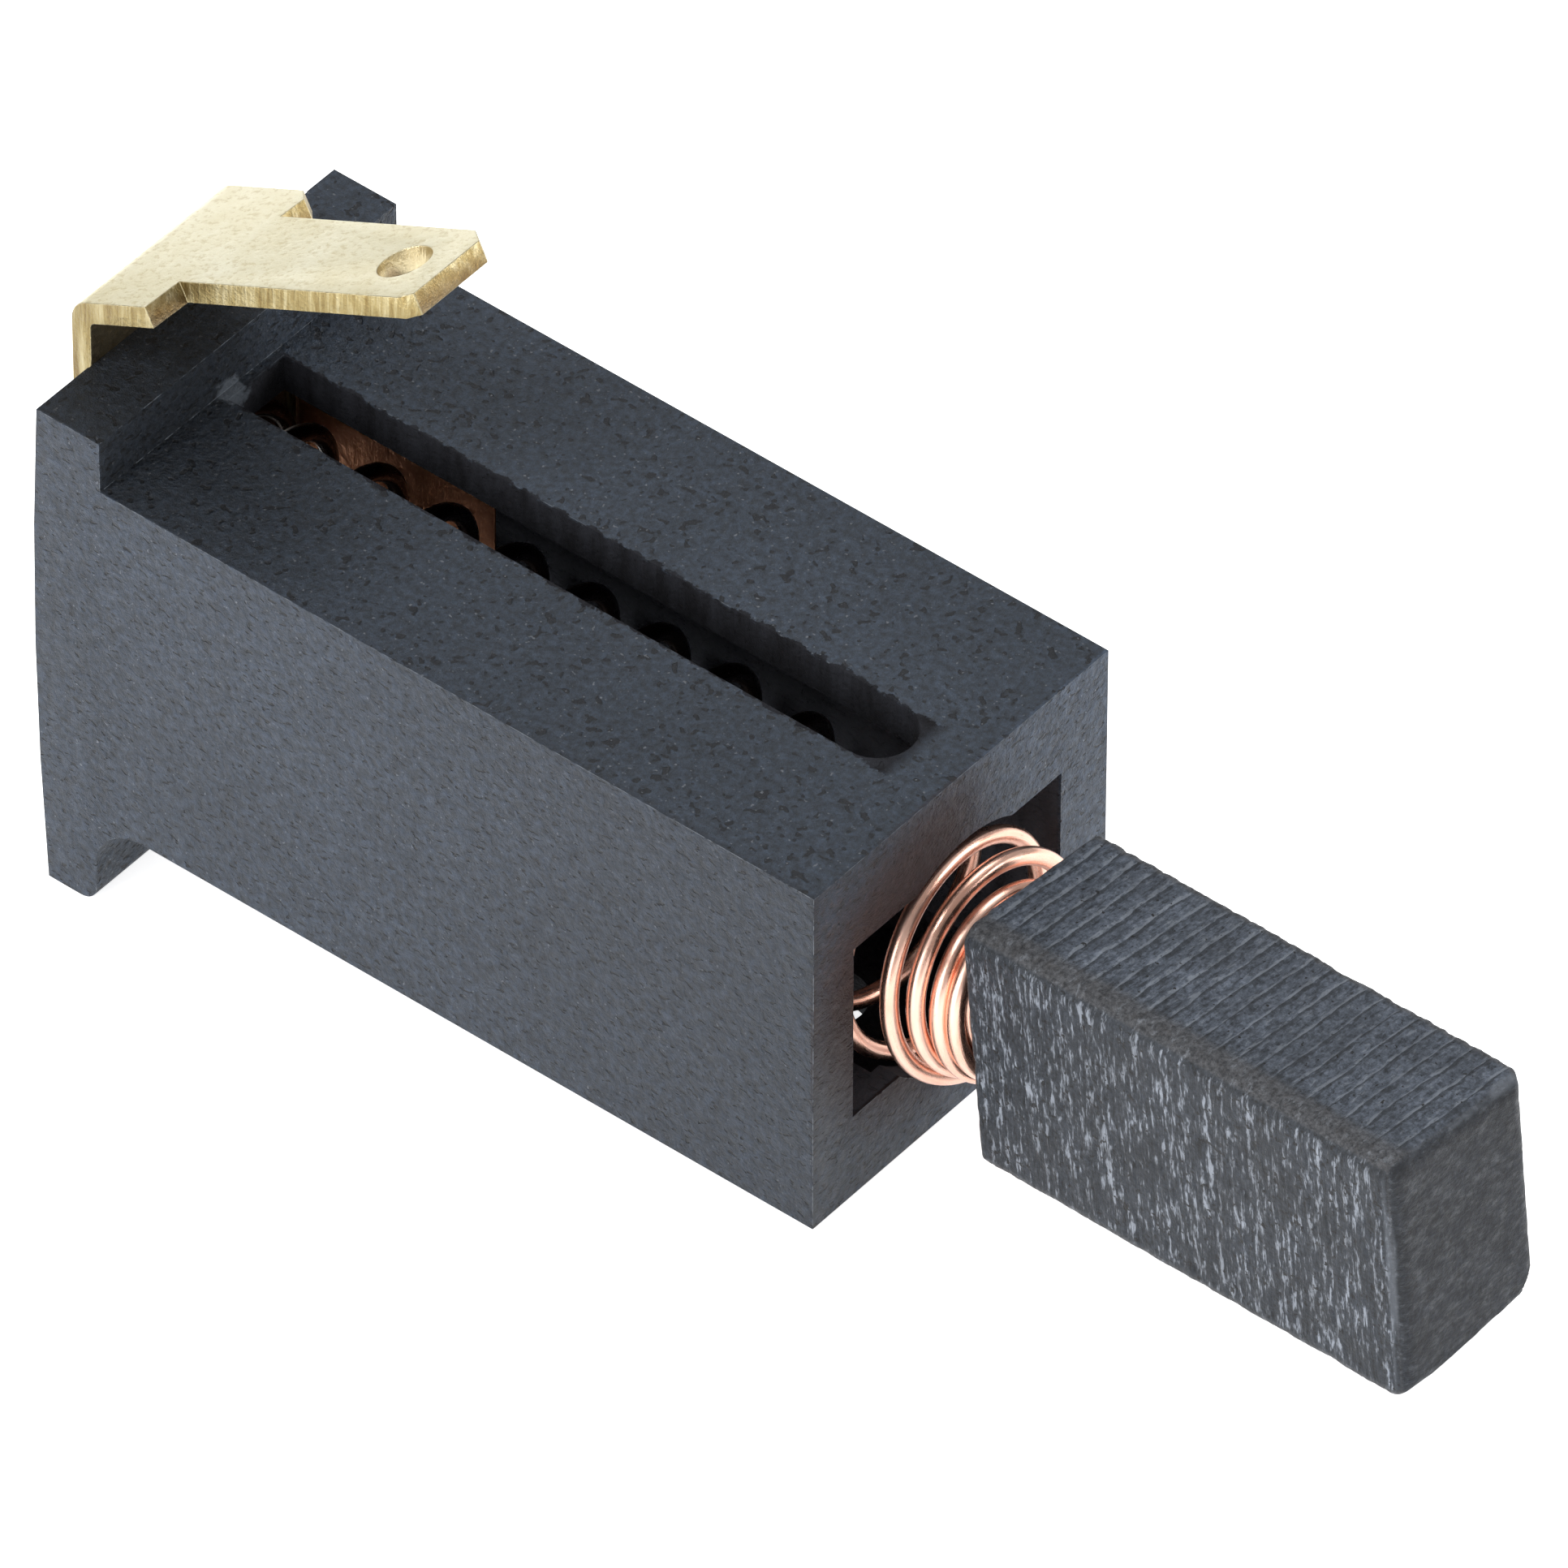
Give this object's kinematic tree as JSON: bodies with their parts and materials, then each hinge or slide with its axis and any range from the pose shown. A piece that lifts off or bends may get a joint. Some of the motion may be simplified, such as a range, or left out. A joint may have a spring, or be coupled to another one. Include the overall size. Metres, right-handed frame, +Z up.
{
  "type": "carbon brush",
  "caption": "Motor carbon brush in a moulded box holder, with a folded blade terminal and the sprung carbon block pulled out and twisted.",
  "frame": {"origin": "centre line of the box guide where it crosses the flange's front plane, the plane the holder seats on", "axes": "+X along the guide towards the carbon, +Z up through the long slotted wall under the blade, +Y across the box"},
  "size_m": [0.0391, 0.0104, 0.021],
  "materials": {
    "moulding": "matt granular thermoset moulding",
    "brass": "satin rolled sheet with sheared edges",
    "copper": "bright drawn copper-coloured wire",
    "graphite": "sawn matt graphite"
  },
  "bodies": {
    "holder": {"holder": "moulding", "terminal": "brass"},
    "spring": {"spring": "copper"},
    "carbon": {"carbon": "graphite"}
  },
  "joints": [
    {"name": "brush_twist", "type": "hinge", "parent": "holder", "child": "spring", "pos_m": [0.0209, 0.0001, -0.0004], "axis": [1, 0, 0], "range_deg": [-90, 90], "stiffness_Nm_per_rad": 0.001},
    {"name": "brush_slide", "type": "slide", "parent": "spring", "child": "carbon", "axis": [1, 0, 0], "range_m": [-0.0015, 0], "stiffness_N_per_m": 50, "deforming": ["spring"]}
  ]
}
